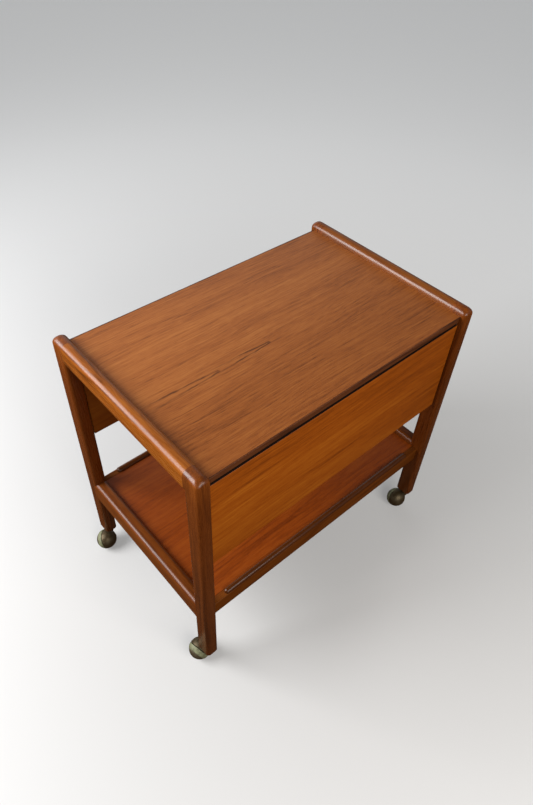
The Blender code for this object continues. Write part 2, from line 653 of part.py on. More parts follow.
def make_castor(corner, side, end):
    stem = Vector((side * X_POST, end * Y_POST, 0.0))
    facing = math.radians(CASTOR_FACING[corner])
    outward = Vector((math.cos(facing), math.sin(facing), 0.0))
    rolling = Vector((-outward.y, outward.x, 0.0))
    trail = CASTOR_TRAIL_SIGN[corner] * CASTOR_TRAIL
    centre = stem + CASTOR_SIDE * outward + trail * rolling + Vector((0.0, 0.0, BALL_RADIUS))
    axis = outward * math.cos(WHEEL_TILT) - Vector((0.0, 0.0, math.sin(WHEEL_TILT)))
    place = Matrix.Translation(centre) @ axis.to_track_quat("Z", "Y").to_matrix().to_4x4()
    make_hood(corner, stem, place)
    make_wheel(corner, place)
    make_socket(corner, stem)


clear_scene()
PARTS = new_collection("drop_leaf_trolley")
CUTTERS = new_collection("cutters")

for corner_name, (x_sign, y_sign) in CORNERS.items():
    make_post(corner_name, x_sign, y_sign)
    make_castor(corner_name, x_sign, y_sign)
for side_name, x_sign in SIDES.items():
    make_end_rail("top_rail_" + side_name, x_sign, *TOP_RAIL, HEAD_ROUND)
    make_end_rail("lower_rail_" + side_name, x_sign, *LOWER_RAIL, RAIL_ROUND)
make_top()
make_battens()
for end_name, y_sign in ENDS.items():
    make_leaf(end_name, y_sign)
    for side_name, x_sign in SIDES.items():
        make_pivot(end_name, y_sign, side_name, x_sign)
        make_bearer(end_name, y_sign, side_name, x_sign)
make_shelf()
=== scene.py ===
"""Looks for the drop-leaf trolley. Metres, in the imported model's own frame.

Posts, rails, leaves, lippings, shelf rails and castors get finer meshes that stand for their
CAD nodes. The other CAD nodes stay and get their finishes here.
"""

import json
import math

import bmesh
import bpy
from mathutils import Matrix, Vector


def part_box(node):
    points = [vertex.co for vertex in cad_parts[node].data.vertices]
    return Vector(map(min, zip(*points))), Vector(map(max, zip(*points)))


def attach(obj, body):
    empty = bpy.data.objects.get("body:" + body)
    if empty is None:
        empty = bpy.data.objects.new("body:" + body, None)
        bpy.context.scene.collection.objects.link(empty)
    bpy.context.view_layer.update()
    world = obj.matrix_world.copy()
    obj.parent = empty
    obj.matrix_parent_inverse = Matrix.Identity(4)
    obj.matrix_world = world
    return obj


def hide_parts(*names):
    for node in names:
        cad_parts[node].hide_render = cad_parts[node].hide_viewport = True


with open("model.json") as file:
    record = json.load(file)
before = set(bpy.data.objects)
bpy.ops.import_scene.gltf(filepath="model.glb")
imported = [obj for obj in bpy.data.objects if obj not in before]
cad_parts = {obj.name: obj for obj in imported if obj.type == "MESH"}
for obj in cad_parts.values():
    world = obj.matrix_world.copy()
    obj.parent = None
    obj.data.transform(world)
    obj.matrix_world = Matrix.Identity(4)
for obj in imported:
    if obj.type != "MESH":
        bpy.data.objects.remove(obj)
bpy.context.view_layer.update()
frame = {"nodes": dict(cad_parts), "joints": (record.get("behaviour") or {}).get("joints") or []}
scene = bpy.context.scene
ALONG_X, ALONG_Y, ALONG_Z = 0, 1, 2

# ---- camera -----------------------------------------------------------------------------
CAMERA_PLACE = Vector((-0.6740, -0.7027, 1.4386))
CAMERA_YAW = 0.76163          # radians, from +Y towards +X
CAMERA_PITCH = 0.79456        # radians below the horizon
CAMERA_ROLL = 0.05491         # radians
CAMERA_LENS = 28.12           # millimetres
CAMERA_NEAR = 0.01


def make_camera():
    """The camera from its place, its two turns and its roll, solved from the photo's edges."""
    flat = math.cos(CAMERA_PITCH)
    ahead = Vector((math.sin(CAMERA_YAW) * flat, math.cos(CAMERA_YAW) * flat, -math.sin(CAMERA_PITCH)))
    right = ahead.cross(Vector((0.0, 0.0, 1.0))).normalized()
    up = right.cross(ahead)
    turn = Matrix.Rotation(-CAMERA_ROLL, 3, ahead)
    right, up = turn @ right, turn @ up
    data = bpy.data.cameras.new("camera")
    data.lens = CAMERA_LENS
    data.clip_start = CAMERA_NEAR
    camera = bpy.data.objects.new("camera", data)
    camera.matrix_world = Matrix((right, up, -ahead)).transposed().to_4x4()
    camera.location = CAMERA_PLACE
    scene.collection.objects.link(camera)
    scene.camera = camera


make_camera()


# ---- node helpers -----------------------------------------------------------------------
def feed(tree, socket, value):
    """Link a socket, or set a plain value."""
    if isinstance(value, bpy.types.NodeSocket):
        tree.links.new(value, socket)
    else:
        socket.default_value = value


def add_node(tree, kind, settings=None, **inputs):
    """A shader node with its settings and inputs. An underscore in an input's name is a space."""
    node = tree.nodes.new("ShaderNode" + kind)
    for key, value in (settings or {}).items():
        setattr(node, key, value)
    for key, value in inputs.items():
        feed(tree, node.inputs[key.replace("_", " ")], value)
    return node


def calc(tree, operation, *values):
    """The result of a Math node."""
    node = tree.nodes.new("ShaderNodeMath")
    node.operation = operation
    for socket, value in zip(node.inputs, values):
        feed(tree, socket, value)
    return node.outputs[0]


def remap(tree, value, low, high, start=0.0, stop=1.0):
    """value from low..high to start..stop, smoothly and clamped."""
    node = add_node(tree, "MapRange", {"interpolation_type": "SMOOTHSTEP"}, Value=value, From_Min=low,
                    From_Max=high, To_Min=start, To_Max=stop)
    return node.outputs["Result"]


def noise(tree, vector, scale, detail=2.0, roughness=0.5):
    """A noise from 0 to 1."""
    node = add_node(tree, "TexNoise", Vector=vector, Scale=scale, Detail=detail, Roughness=roughness)
    return node.outputs[0]


# a Mix node's colour sockets come after its number and vector ones
MIX_FACTOR, MIX_FIRST, MIX_SECOND, MIX_RESULT = 0, 6, 7, 2


def mix_color(tree, blend, factor, first, second):
    """Two colours mixed by a factor, in a blend mode."""
    node = tree.nodes.new("ShaderNodeMix")
    node.data_type = "RGBA"
    node.blend_type = blend
    feed(tree, node.inputs[MIX_FACTOR], factor)
    feed(tree, node.inputs[MIX_FIRST], first)
    feed(tree, node.inputs[MIX_SECOND], second)
    return node.outputs[MIX_RESULT]


def new_material(name):
    """A material, its node tree and its main shader."""
    material = bpy.data.materials.new(name)
    material.use_nodes = True
    tree = material.node_tree
    return material, tree, tree.nodes["Principled BSDF"]


def add_bump(tree, shader, height, strength, distance):
    """Fine relief on a shader."""
    bump = add_node(tree, "Bump", Strength=strength, Distance=distance, Height=height)
    feed(tree, shader.inputs["Normal"], bump.outputs["Normal"])


def stretched(tree, parts, along, across, seed):
    """A vector whose first part is scaled by along and the other two by across."""
    scaled = [calc(tree, "MULTIPLY_ADD", part, factor, seed)
              for part, factor in zip(parts, (along, across, across))]
    node = add_node(tree, "CombineXYZ", X=scaled[0], Y=scaled[1], Z=scaled[2])
    return node.outputs[0]


# ---- wood -------------------------------------------------------------------------------
# noise layers: scale along the grain, scale across it, seed, detail, roughness
WANDER = (2.2, 7.0, 0.0, 2.0, 0.5)
BAND = (1.1, 17.0, 3.1, 3.0, 0.55)
STREAK = (7.7, 4.0, 0.62)     # its two scales come from each wood
FIBRE = (40.0, 560.0, 1.9, 2.0, 0.6)
PORE = (55.0, 1050.0, 5.3, 1.0, 0.5)
RING_FIELD = (0.9, 15.0, 11.0, 1.0, 0.4)
RING_PLACES = (1.5, 11.0, 17.0, 1.0, 0.5)
FIGURE_WOBBLE = (38.0, 60.0, 19.0, 3.0, 0.6)
FIGURE_PATCHES = (30.0, 90.0, 23.0, 2.0, 0.5)

NOISE_MIDDLE = 0.5
WANDER_REACH = 0.030          # metres, side to side
PORE_LIMITS = (0.60, 0.74)
RING_COUNT = 15.0
RING_SHARPNESS = 5.0
RING_LIMITS = (0.44, 0.60)
RING_BY_STREAK = (1.1, 0.1)
FIBRE_TONE = 0.50
PORE_TONE = -0.16
DARK_STOP, MIDDLE_STOP, LIGHT_STOP = 0.12, 0.48, 0.82
FIGURE_SWAY = 0.0055
FIGURE_LIMITS = (0.34, 0.62)
FIGURE_SHADE = (0.55, 0.55, 0.65)        # times the wood's dark colour
FIGURE_STRENGTH = (0.55, 0.40)
FIGURE_START = (-0.001, 0.006)
FIGURE_FADE = 0.45            # share of a figure's reach at full strength
# painted shade: near black over the leaves' top edges, in the groove under the lipping; and how far it fades
# in, in metres
GROOVE_SHADE_COLOR = (0.020, 0.010, 0.007, 1.0)
GROOVE_SHADE_FADE = 0.0003
ROUGH_BY_FIBRE = 0.16
ROUGH_BY_BAND = 0.12
STREAK_HEIGHT = 0.5
FIBRE_HEIGHT = 0.5
PORE_HEIGHT = -0.8
WOOD_DEPTH = 0.0003


def layer(tree, parts, seed, along, across, own_seed, detail, roughness):
    """A noise stretched along the grain."""
    vector = stretched(tree, parts, along, across, seed + own_seed)
    return noise(tree, vector, 1.0, detail, roughness)


def swing(tree, value, amount, base):
    """base, moved by a noise's distance from its middle times amount."""
    return calc(tree, "MULTIPLY_ADD", calc(tree, "SUBTRACT", value, NOISE_MIDDLE), amount, base)


def hairpin(tree, along, across, tip, spread, reach, width):
    """Two thin lines that run along the grain and meet in a point, from 0 to 1."""
    back = calc(tree, "SUBTRACT", tip[0], along)
    half = calc(tree, "MULTIPLY", calc(tree, "SQRT", calc(tree, "MAXIMUM", back, 0.0)), spread)
    away = calc(tree, "ABSOLUTE", calc(tree, "SUBTRACT", across, tip[1]))
    off_line = calc(tree, "ABSOLUTE", calc(tree, "SUBTRACT", away, half))
    line = remap(tree, off_line, 0.0, width, 1.0, 0.0)
    begun = remap(tree, back, *FIGURE_START)
    ended = remap(tree, back, reach * FIGURE_FADE, reach, 1.0, 0.0)
    return calc(tree, "MULTIPLY", line, calc(tree, "MULTIPLY", begun, ended))


def growth_rings(tree, parts, bent, streak, seed):
    """Thin contour lines of a slow noise, in some places only."""
    slow = layer(tree, bent, seed, *RING_FIELD)
    wave = calc(tree, "SINE", calc(tree, "MULTIPLY", slow, 2.0 * math.pi * RING_COUNT))
    ring = calc(tree, "POWER", calc(tree, "MULTIPLY_ADD", wave, 0.5, 0.5), RING_SHARPNESS)
    where = layer(tree, parts, seed, *RING_PLACES)
    ring = calc(tree, "MULTIPLY", ring, remap(tree, where, *RING_LIMITS))
    return calc(tree, "MULTIPLY", ring, calc(tree, "MULTIPLY_ADD", streak, *RING_BY_STREAK))


def add_figures(tree, parts, bent, seed, figures, dark, color):
    """Pointed dark figures, patchy and a little unsteady, drawn over a colour."""
    swayed = swing(tree, layer(tree, parts, seed, *FIGURE_WOBBLE), FIGURE_SWAY, bent[1])
    patchy = remap(tree, layer(tree, parts, seed, *FIGURE_PATCHES), *FIGURE_LIMITS)
    shade = (*(part * share for part, share in zip(dark, FIGURE_SHADE)), 1.0)
    for figure in figures:
        strength = calc(tree, "MULTIPLY_ADD", patchy, *FIGURE_STRENGTH)
        mark = calc(tree, "MULTIPLY", hairpin(tree, bent[0], swayed, **figure), strength)
        color = mix_color(tree, "MIX", mark, color, shade)
    return color


def wood(name, axis, dark, middle, light, seed=0.0, bands=0.55, streaks=0.75, lines=0.5, gloss=0.42,
         specular=0.4, relief=0.22, grain=(6.0, 130.0), figures=(), painted_light=None, painted_shade_above=None):
    """Varnished wood with its grain along one axis. Colours are linear.

    A painted gradient of light and shade, when given, is (axis, where it is full, where it ends, colour).
    Painted shade, near black, goes above a height in metres, when one is given.
    """
    material, tree, shader = new_material(name)
    place = tree.nodes.new("ShaderNodeTexCoord").outputs["Object"]
    split = add_node(tree, "SeparateXYZ", Vector=place).outputs
    parts = [split[(axis + i) % 3] for i in range(3)]

    wander = layer(tree, parts, seed, *WANDER)
    shift = calc(tree, "MULTIPLY_ADD", wander, WANDER_REACH, -WANDER_REACH / 2)
    bent = [parts[0], calc(tree, "ADD", parts[1], shift), calc(tree, "ADD", parts[2], shift)]
    band = layer(tree, bent, seed, *BAND)
    streak = layer(tree, bent, seed, *grain, *STREAK)
    fibre = layer(tree, bent, seed, *FIBRE)
    pore = remap(tree, layer(tree, bent, seed, *PORE), *PORE_LIMITS)
    ring = growth_rings(tree, parts, bent, streak, seed)

    tone = swing(tree, band, bands, NOISE_MIDDLE)
    tone = swing(tree, streak, streaks, tone)
    tone = swing(tree, fibre, FIBRE_TONE, tone)
    tone = calc(tree, "MULTIPLY_ADD", ring, -lines, tone)
    tone = calc(tree, "MULTIPLY_ADD", pore, PORE_TONE, tone)
    ramp = add_node(tree, "ValToRGB", Fac=tone)
    stops = ramp.color_ramp.elements
    stops[0].position, stops[0].color = DARK_STOP, (*dark, 1.0)
    stops[1].position, stops[1].color = LIGHT_STOP, (*light, 1.0)
    stops.new(MIDDLE_STOP).color = (*middle, 1.0)
    color = ramp.outputs["Color"]
    if figures:
        color = add_figures(tree, parts, bent, seed, figures, dark, color)
    # painted light and shade: the colour scaled along one axis
    if painted_light:
        light_axis, full, ended, shade = painted_light
        low, high, at_low, at_high = (full, ended, 1.0, 0.0) if full < ended else (ended, full, 0.0, 1.0)
        share = remap(tree, split[light_axis], low, high, at_low, at_high)
        color = mix_color(tree, "MULTIPLY", share, color, (*shade, 1.0))
    # painted shade: near black above a height
    if painted_shade_above is not None:
        edge = remap(tree, split[ALONG_Z], painted_shade_above - GROOVE_SHADE_FADE, painted_shade_above)
        color = mix_color(tree, "MIX", edge, color, GROOVE_SHADE_COLOR)
    feed(tree, shader.inputs["Base Color"], color)

    rough = swing(tree, band, ROUGH_BY_BAND, swing(tree, fibre, ROUGH_BY_FIBRE, gloss))
    feed(tree, shader.inputs["Roughness"], rough)
    shader.inputs["Specular IOR Level"].default_value = specular
    height = calc(tree, "MULTIPLY_ADD", streak, STREAK_HEIGHT, calc(tree, "MULTIPLY", fibre, FIBRE_HEIGHT))
    height = calc(tree, "MULTIPLY_ADD", pore, PORE_HEIGHT, height)
    add_bump(tree, shader, height, relief, WOOD_DEPTH)
    return material


# ---- metal and rubber -------------------------------------------------------------------
WEAR_DETAIL, WEAR_ROUGHNESS = 4.0, 0.6
METAL_FINE_SCALE = 14.0       # times the patches' scale
METAL_WEAR_SHARE, METAL_FINE_SHARE = 0.8, 0.25
METAL_LIMITS = (0.42, 0.64)
METAL_ROUGH_BY_WEAR = 0.22
METAL_RELIEF = 0.10
RUBBER_SMEAR_SCALE = 120.0
RUBBER_GRIT_SCALE = 2600.0
RUBBER_SMEAR_SHARE, RUBBER_GRIT_SHARE = 0.75, 0.3
RUBBER_LIMITS = (0.44, 0.66)
RUBBER_ROUGH, RUBBER_ROUGH_BY_GRIT = 0.5, 0.2
RUBBER_RELIEF = 0.25
FINE_DEPTH = 0.0002


def metal(name, base, worn, rough, metallic=1.0, seed=0.0, patch=90.0, amount=0.6):
    """Metal that is duller and paler in patches, with fine scratches."""
    material, tree, shader = new_material(name)
    shifted = add_node(tree, "VectorMath", {"operation": "ADD"})
    feed(tree, shifted.inputs[0], tree.nodes.new("ShaderNodeTexCoord").outputs["Object"])
    feed(tree, shifted.inputs[1], (seed, seed, seed))
    place = shifted.outputs[0]
    wear = noise(tree, place, patch, WEAR_DETAIL, WEAR_ROUGHNESS)
    fine = noise(tree, place, patch * METAL_FINE_SCALE)
    both = calc(tree, "MULTIPLY_ADD", fine, METAL_FINE_SHARE, calc(tree, "MULTIPLY", wear, METAL_WEAR_SHARE))
    mask = calc(tree, "MULTIPLY", remap(tree, both, *METAL_LIMITS), amount)
    feed(tree, shader.inputs["Base Color"], mix_color(tree, "MIX", mask, (*base, 1.0), (*worn, 1.0)))
    feed(tree, shader.inputs["Roughness"], calc(tree, "MULTIPLY_ADD", mask, METAL_ROUGH_BY_WEAR, rough))
    shader.inputs["Metallic"].default_value = metallic
    add_bump(tree, shader, fine, METAL_RELIEF, FINE_DEPTH)
    return material


def rubber(name, base, dirt):
    """Matt rubber with smears of dirt and a fine grit."""
    material, tree, shader = new_material(name)
    place = tree.nodes.new("ShaderNodeTexCoord").outputs["Object"]
    smear = noise(tree, place, RUBBER_SMEAR_SCALE, WEAR_DETAIL, WEAR_ROUGHNESS)
    grit = noise(tree, place, RUBBER_GRIT_SCALE, 2.0, WEAR_ROUGHNESS)
    both = calc(tree, "MULTIPLY_ADD", grit, RUBBER_GRIT_SHARE,
                calc(tree, "MULTIPLY", smear, RUBBER_SMEAR_SHARE))
    mask = remap(tree, both, *RUBBER_LIMITS)
    feed(tree, shader.inputs["Base Color"], mix_color(tree, "MIX", mask, (*base, 1.0), (*dirt, 1.0)))
    rough = calc(tree, "MULTIPLY_ADD", grit, RUBBER_ROUGH_BY_GRIT, RUBBER_ROUGH)
    feed(tree, shader.inputs["Roughness"], rough)
    add_bump(tree, shader, grit, RUBBER_RELIEF, FINE_DEPTH)
    return material


# ---- the looks --------------------------------------------------------------------------
# painted shade on the leaves' top edges starts just below their top
LEAF_TOP_MARGIN = 0.0001
LEAF_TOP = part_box("leaf_front")[1].z - LEAF_TOP_MARGIN
HEAD_PAINTED_LIGHT = (ALONG_Z, 0.668, 0.60, (1.40, 1.50, 1.50))       # painted light: paler towards the posts' heads
TOP_PAINTED_SHADE = (ALONG_Y, -0.19, 0.07, (0.84, 0.80, 0.68))        # painted shade: deeper towards the top's front
# where each figure's point is, how wide it opens, how long it is and how thick its lines are
TOP_FIGURES = (
    {"tip": (-0.028, -0.021), "spread": 0.0180, "reach": 0.16, "width": 0.0026},
    {"tip": (-0.155, -0.024), "spread": 0.0200, "reach": 0.20, "width": 0.0028},
)

TOP = wood("top_veneer_look", ALONG_X, (0.138, 0.036, 0.0063), (0.350, 0.103, 0.020), (0.472, 0.166, 0.037),
           seed=2.0, lines=0.10, bands=0.60, streaks=1.0, specular=0.34, grain=(7.0, 330.0),
           figures=TOP_FIGURES, painted_light=TOP_PAINTED_SHADE)
LEAF = {
    "front": wood("leaf_front_look", ALONG_X, (0.175, 0.036, 0.0020), (0.370, 0.083, 0.0040),
                  (0.480, 0.134, 0.0090), seed=21.0, bands=0.75, streaks=1.0, lines=0.15, gloss=0.45,
                  specular=0.20, grain=(4.5, 210.0), painted_shade_above=LEAF_TOP),
    # painted shade: the same veneer as the front leaf, in darker colours
    "back": wood("leaf_back_shaded_look", ALONG_X, (0.122, 0.032, 0.0024), (0.230, 0.062, 0.0048),
                 (0.288, 0.091, 0.0088), seed=33.0, bands=0.75, streaks=1.0, lines=0.15, gloss=0.45,
                 specular=0.20, grain=(4.5, 210.0), painted_shade_above=LEAF_TOP),
}
SHELF = wood("shelf_veneer_look", ALONG_X, (0.101, 0.016, 0.0008), (0.224, 0.040, 0.0016),
             (0.290, 0.063, 0.0040), seed=47.0, bands=0.65, lines=0.25, specular=0.3, grain=(7.0, 180.0))
TOP_RAIL = {
    "left": wood("top_rail_left_look", ALONG_Y, (0.115, 0.028, 0.003), (0.280, 0.076, 0.008),
                 (0.370, 0.116, 0.014), seed=5.0, streaks=1.0, lines=0.35, gloss=0.27, specular=0.27,
                 relief=0.08),
    # painted shade: the same teak as the left rail, in darker colours
    "right": wood("top_rail_right_shaded_look", ALONG_Y, (0.080, 0.020, 0.003), (0.200, 0.054, 0.006),
                  (0.275, 0.084, 0.010), seed=71.0, streaks=1.0, lines=0.35, gloss=0.27, specular=0.45,
                  relief=0.08),
}
LOWER_RAIL = wood("lower_rail_look", ALONG_Y, (0.062, 0.014, 0.0024), (0.148, 0.036, 0.0048),
                  (0.203, 0.056, 0.0080), seed=55.0, streaks=0.9, lines=0.35, gloss=0.30, specular=0.30,
                  relief=0.08)
SHELF_RAIL = wood("shelf_rail_look", ALONG_X, (0.058, 0.014, 0.0016), (0.134, 0.033, 0.0032),
                  (0.190, 0.053, 0.0064), seed=13.0, gloss=0.36, lines=0.3, specular=0.10)
BEAD = wood("bead_look", ALONG_X, (0.035, 0.009, 0.002), (0.082, 0.021, 0.003), (0.125, 0.034, 0.005),
            seed=83.0, gloss=0.28, lines=0.3, specular=0.32, relief=0.08)
# the posts' colours are darker than the top rails': partly a darker teak, partly painted shade
POST = wood("post_look", ALONG_Z, (0.062, 0.0135, 0.0018), (0.138, 0.031, 0.0036), (0.196, 0.050, 0.0072),
            seed=15.0, gloss=0.27, streaks=0.85, lines=0.35, specular=0.40, relief=0.08, painted_light=HEAD_PAINTED_LIGHT)
LIPPING = wood("lipping_look", ALONG_X, (0.050, 0.014, 0.005), (0.118, 0.034, 0.010),
               (0.170, 0.056, 0.018), seed=29.0, specular=0.3)
BEECH = wood("beech_look", ALONG_Y, (0.360, 0.220, 0.110), (0.520, 0.350, 0.190), (0.600, 0.430, 0.260),
             seed=61.0, bands=0.3, lines=0.2, gloss=0.58, specular=0.3)
STEEL = metal("steel_look", (0.50, 0.49, 0.46), (0.36, 0.35, 0.33), 0.30)
BRONZE = metal("bronze_look", (0.080, 0.053, 0.023), (0.125, 0.096, 0.052), 0.40, metallic=0.6, seed=4.0)
DOME = metal("dome_look", (0.095, 0.070, 0.036), (0.150, 0.120, 0.075), 0.42, metallic=0.4, seed=8.0)
TYRE = rubber("tyre_look", (0.235, 0.240, 0.130), (0.130, 0.125, 0.065))


# ---- mesh helpers -----------------------------------------------------------------------
MERGE_DISTANCE = 1e-7
ON_AXIS = 1e-9
SHARP_ANGLE = 35.0            # degrees; a sharper edge isn't shaded smooth
CUT_SHARP_ANGLE = 40.0        # the same, after a Boolean
CORNER_STEPS = 8
SMALL_CORNER_STEPS = 4
EASE_SEGMENTS = 2
CHAMFER_LIMIT = 0.4           # share of a side that a chamfer may take


def smooth(mesh, angle=SHARP_ANGLE):
    """Smooth shading, with sharp edges kept."""
    mesh.shade_smooth()
    mesh.set_sharp_from_angle(angle=math.radians(angle))


def finish_mesh(bm, name):
    """A clean, smooth-shaded mesh from a bmesh, which is freed."""
    bmesh.ops.remove_doubles(bm, verts=bm.verts, dist=MERGE_DISTANCE)
    bmesh.ops.recalc_face_normals(bm, faces=bm.faces)
    mesh = bpy.data.meshes.new(name)
    bm.to_mesh(mesh)
    bm.free()
    smooth(mesh)
    return mesh


def piece(name, mesh, material, body, slot, *nodes):
    """A mesh object that rides on a body, and stands for CAD nodes if any are named."""
    item = bpy.data.objects.new(name, mesh)
    scene.collection.objects.link(item)
    mesh.materials.append(material)
    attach(item, body)
    if nodes:
        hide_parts(*nodes)
    return item


def corner_arc(center, radius, start, stop, steps):
    """Points of an arc, in degrees."""
    found = []
    for i in range(steps + 1):
        angle = math.radians(start + (stop - start) * i / steps)
        found.append((center[0] + radius * math.cos(angle), center[1] + radius * math.sin(angle)))
    return found


def rounded_outline(low, high, radii, steps=CORNER_STEPS):
    """A rectangle's outline, anticlockwise. radii are for low-low, high-low, high-high and low-high."""
    places = [(low[0], low[1], 1, 1), (high[0], low[1], -1, 1), (high[0], high[1], -1, -1),
              (low[0], high[1], 1, -1)]
    found = []
    for (u, v, u_way, v_way), radius, start in zip(places, radii, (180.0, 270.0, 0.0, 90.0)):
        found += corner_arc((u + u_way * radius, v + v_way * radius), radius, start, start + 90.0, steps)
    return found


def spread_axes(axis, along, u, v):
    """A point from its place along an axis and its two other coordinates, in X, Y, Z order."""
    point = [u, v]
    point.insert(axis, along)
    return point


def add_prism(bm, outline, axis, start, stop, ease=0.0):
    """An outline swept along an axis, with eased ends."""
    loops = [[bm.verts.new(spread_axes(axis, along, u, v)) for u, v in outline] for along in (start, stop)]
    made = [bm.faces.new(loops[0]), bm.faces.new(loops[1])]
    count = len(outline)
    for i in range(count):
        after = (i + 1) % count
        made.append(bm.faces.new((loops[0][i], loops[0][after], loops[1][after], loops[1][i])))
    if ease:
        rims = [edge for face in made[:2] for edge in face.edges]
        bmesh.ops.bevel(bm, geom=rims, offset=ease, segments=EASE_SEGMENTS, profile=0.5, affect="EDGES")


def prism(name, outline, axis, start, stop, ease=0.0):
    """The mesh of one prism."""
    bm = bmesh.new()
    add_prism(bm, outline, axis, start, stop, ease)
    return finish_mesh(bm, name)


def turned(profile, steps, place):
    """A closed (radius, height) outline turned about Z, moved to its place. Radius 0 is on the axis."""
    bm = bmesh.new()
    rings = []
    for radius, height in profile:
        if radius < ON_AXIS:
            rings.append([bm.verts.new((0.0, 0.0, height))] * steps)
            continue
        ring = []
        for i in range(steps):
            angle = 2.0 * math.pi * i / steps
            ring.append(bm.verts.new((radius * math.cos(angle), radius * math.sin(angle), height)))
        rings.append(ring)
    pairs = list(zip(rings, rings[1:]))
    if profile[0][0] > ON_AXIS:
        pairs.append((rings[-1], rings[0]))
    for low, high in pairs:
        for i in range(steps):
            after = (i + 1) % steps
            corners = list(dict.fromkeys((low[i], low[after], high[after], high[i])))
            if len(corners) > 2:
                bm.faces.new(corners)
    bm.transform(place)
    return bm


def lay_soft_corner(points, offset):
    """The same outline with each inner corner cut by a short chamfer."""
    found = [points[0]]
    for before, point, after in zip(points, points[1:], points[2:]):
        here = Vector(point)
        for other in (before, after):
            way = Vector(other) - here
            found.append(tuple(here + way.normalized() * min(offset, way.length * CHAMFER_LIMIT)))
    return found + [points[-1]]


# ---- posts and rails --------------------------------------------------------------------
POST_ROUND = 0.008
HEAD_ROUND = 0.0135           # along the top rails' upper edges and over the posts' heads
HEAD_SPREAD = 0.35            # how much more the heads' corners are rounded as they close in
HEAD_SEAM = 0.00005           # a head lies this far inside the rail's line, so that no two faces coincide
RAIL_ROUND = 0.010
RAIL_EASE = 0.003
RAIL_STEPS = 10
END_EASE = 0.0003
FOOT_EASE = 0.0012
HEAD_RINGS = 12
FOOT_RING = 0.3               # share of the foot's ease at its middle ring
FULLEST_ROUND = 0.98          # of half a post's width, so that its sides don't vanish
SIDES = ("left", "right")
ENDS = {"front": -1, "back": 1}
CORNERS = [(f"{end}_{side}", end, side) for end in ENDS for side in SIDES]


def end_rail_outline(low, high, rounding):
    """An end rail's section in X and Z: eased below, rounded above."""
    radii = (RAIL_EASE, RAIL_EASE, rounding, rounding)
    return rounded_outline((low.x, low.z), (high.x, high.z), radii, RAIL_STEPS)


def post_ring(low, high, way, height, inset, head_inset):
    """A post's outline at one height. inset is all round; head_inset spares the side with the rail."""
    side = inset + head_inset
    front = low.y + inset + (head_inset if way < 0 else 0.0)
    back = high.y - inset - (head_inset if way > 0 else 0.0)
    half = (high.x - low.x) / 2 - side
    outer = min(half * FULLEST_ROUND, POST_ROUND + head_inset * HEAD_SPREAD)
    inner = min(half * FULLEST_ROUND, POST_ROUND)
    front_radius, back_radius = (outer, inner) if way < 0 else (inner, outer)
    outline = rounded_outline((low.x + side, front), (high.x - side, back),
                              (front_radius, front_radius, back_radius, back_radius))
    return [(x, y, height) for x, y in outline]


def make_post(corner, end, side):
    """A post rounded all along and over its head. At each rail the round is filled out flush."""
    name = "post_" + corner
    low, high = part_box(name)
    way = ENDS[end]
    levels = [(low.z, FOOT_EASE, 0.0), (low.z + FOOT_EASE * FOOT_RING, FOOT_EASE * FOOT_RING, 0.0),
              (low.z + FOOT_EASE, 0.0, 0.0)]
    for i in range(HEAD_RINGS + 1):
        angle = math.radians(90.0 * i / HEAD_RINGS)
        levels.append((high.z - HEAD_SEAM - HEAD_ROUND * (1.0 - math.sin(angle)), 0.0,
                       HEAD_ROUND * (1.0 - math.cos(angle)) + HEAD_SEAM))
    bm = bmesh.new()
    rings = [[bm.verts.new(point) for point in post_ring(low, high, way, *level)] for level in levels]
    count = len(rings[0])
    for below, above in zip(rings, rings[1:]):
        for i in range(count):
            after = (i + 1) % count
            bm.faces.new((below[i], below[after], above[after], above[i]))
    bm.faces.new(rings[0])
    bm.faces.new(rings[-1])
    inner = high.y if way < 0 else low.y
    deep = inner + way * POST_ROUND
    for rail, rounding in (("top_rail_", HEAD_ROUND), ("lower_rail_", RAIL_ROUND)):
        outline = end_rail_outline(*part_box(rail + side), rounding)
        add_prism(bm, outline, ALONG_Y, min(inner, deep), max(inner, deep))
    return piece(name + "_wood", finish_mesh(bm, name), POST, "frame", "post_teak", name)


def make_end_rail(kind, side, rounding, look):
    """A rail between the two posts of one end frame."""
    name = kind + side
    low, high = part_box(name)
    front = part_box("post_front_" + side)[1].y
    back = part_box("post_back_" + side)[0].y
    mesh = prism(name, end_rail_outline(low, high, rounding), ALONG_Y, front, back, END_EASE)
    return piece(name + "_wood", mesh, look, "frame", "rail_teak", name)


for corner_name, end_name, side_name in CORNERS:
    make_post(corner_name, end_name, side_name)
for side_name in SIDES:
    make_end_rail("top_rail_", side_name, HEAD_ROUND, TOP_RAIL[side_name])
    make_end_rail("lower_rail_", side_name, RAIL_ROUND, LOWER_RAIL)


# ---- lippings, leaves and shelf rails ---------------------------------------------------
LIPPING_EASE = 0.0006
LIPPING_RIM = 0.0025          # width of a lipping that shows on the top
LIPPING_LOW_STEPS = 12
PIN_CLEARANCE = 0.25          # above a pivot pin, as a share of a lipping's lower radius
VENEER = 0.0012               # the face veneer that covers the rest of a lipping, and its gap
LEAF_EASE = 0.0010
SHELF_RAIL_EASE = 0.0015
BEAD_RADIUS = 0.0072
BEAD_RAISE = 0.0005           # shelf surface to the centre of a bead
BEAD_HALF_LENGTH = 0.289
BEAD_TURN_STEPS = 24


